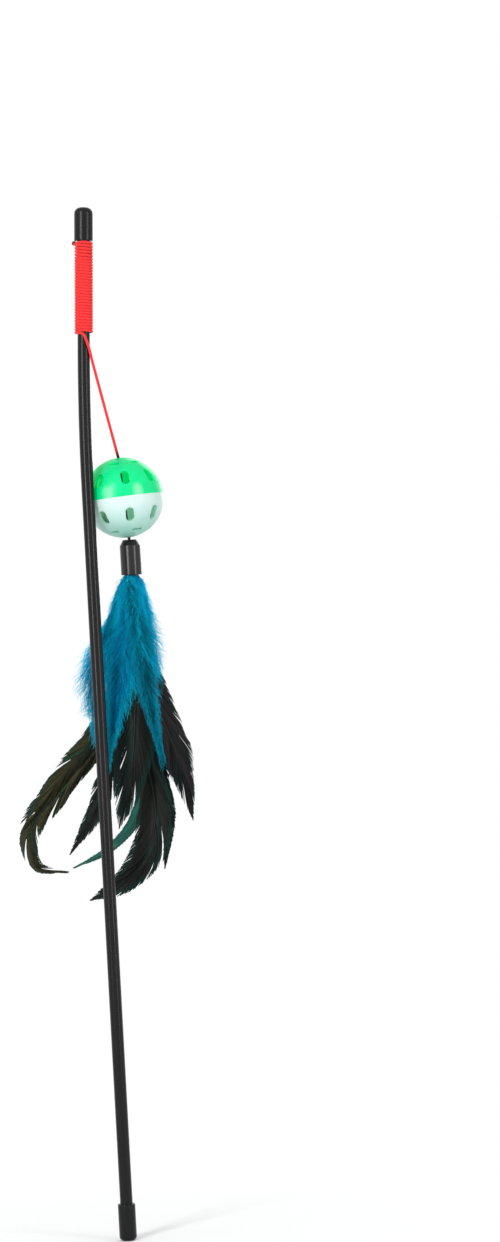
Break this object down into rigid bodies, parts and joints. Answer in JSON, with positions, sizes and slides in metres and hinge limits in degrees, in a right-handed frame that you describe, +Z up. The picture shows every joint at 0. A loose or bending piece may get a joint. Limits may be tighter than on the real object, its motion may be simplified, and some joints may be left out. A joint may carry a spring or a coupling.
{
  "type": "cat teaser wand",
  "caption": "Long black toy rod with soft end caps; a red cord wound round its tip carries a slotted rattle ball with a bell inside and a feather tassel.",
  "frame": {"origin": "on the rod's axis, at the lower end of the grip cap's straight wall, 1.2 mm above the cap's end face", "axes": "+Z up along the rod from the grip to the tip, +X towards the side on which the ball hangs, -Y towards the viewer of the picture"},
  "size_m": [0.0905, 0.0532, 0.5106],
  "materials": {
    "rod_plastic": "gloss black extruded plastic",
    "cap_rubber": "satin black soft plastic",
    "red_cord": "bright red woven cord",
    "dark_cord": "red cord darkened at its melted end, its knots and inside the ball",
    "green_plastic": "translucent spring green",
    "white_plastic": "milky white, slightly translucent",
    "bell_metal": "plated sheet steel",
    "pellet_steel": "plain steel",
    "sleeve_plastic": "satin black plastic",
    "hot_melt_glue": "cloudy hot-melt glue",
    "blue_feather": "dyed downy feather",
    "dark_feather": "dark feather with an oily green sheen"
  },
  "bodies": {
    "wand": {"rod": "rod_plastic", "rod_bow": "rod_plastic", "rod_top": "rod_plastic", "grip_cap": "cap_rubber", "tip_cap": "cap_rubber", "cord_winding": "red_cord", "cord_end": "dark_cord"},
    "cord": {"cord_lead": "red_cord"},
    "hanger": {"cord_through": "dark_cord", "ball_knot": "dark_cord", "sleeve_knot": "dark_cord"},
    "ball": {"ball_upper": "green_plastic", "ball_lower": "white_plastic"},
    "bell": {"bell_upper": "bell_metal", "bell_lower": "bell_metal"},
    "pellet": {"bell_pellet": "pellet_steel"},
    "tassel": {"feather_sleeve": "sleeve_plastic", "glue_plug": "hot_melt_glue", "blue_plume_1": "blue_feather", "blue_plume_2": "blue_feather", "blue_plume_3": "blue_feather", "blue_plume_4": "blue_feather", "blue_plume_5": "blue_feather", "dark_feather_1": "dark_feather", "dark_feather_2": "dark_feather", "dark_feather_3": "dark_feather", "dark_feather_4": "dark_feather", "dark_feather_5": "dark_feather", "dark_feather_6": "dark_feather", "dark_feather_7": "dark_feather", "dark_feather_8": "dark_feather", "dark_feather_9": "dark_feather"}
  },
  "joints": [
    {"name": "cord_swing", "type": "hinge", "parent": "wand", "child": "cord", "pos_m": [0.00538, -0.00117, 0.43452], "axis": [0, -1, 0], "range_deg": [0, 75]},
    {"name": "ball_sway", "type": "hinge", "parent": "cord", "child": "hanger", "pos_m": [0.01534, 0.01632, 0.38564], "axis": [1, 0, 0], "range_deg": [0, 50]},
    {"name": "ball_spin", "type": "hinge", "parent": "hanger", "child": "ball", "pos_m": [0.0169, 0.01632, 0.3657], "axis": [-0.0785, 0, 0.9969], "continuous": true},
    {"name": "bell_rattle", "type": "slide", "parent": "ball", "child": "bell", "axis": [-0.0785, 0, 0.9969], "range_m": [0, 0.0157]},
    {"name": "pellet_rattle", "type": "slide", "parent": "bell", "child": "pellet", "axis": [-0.0785, 0, 0.9969], "range_m": [0, 0.0085]},
    {"name": "feather_sway", "type": "hinge", "parent": "hanger", "child": "tassel", "pos_m": [0.01883, 0.01632, 0.34128], "axis": [0, 1, 0], "range_deg": [-18, 18]}
  ]
}
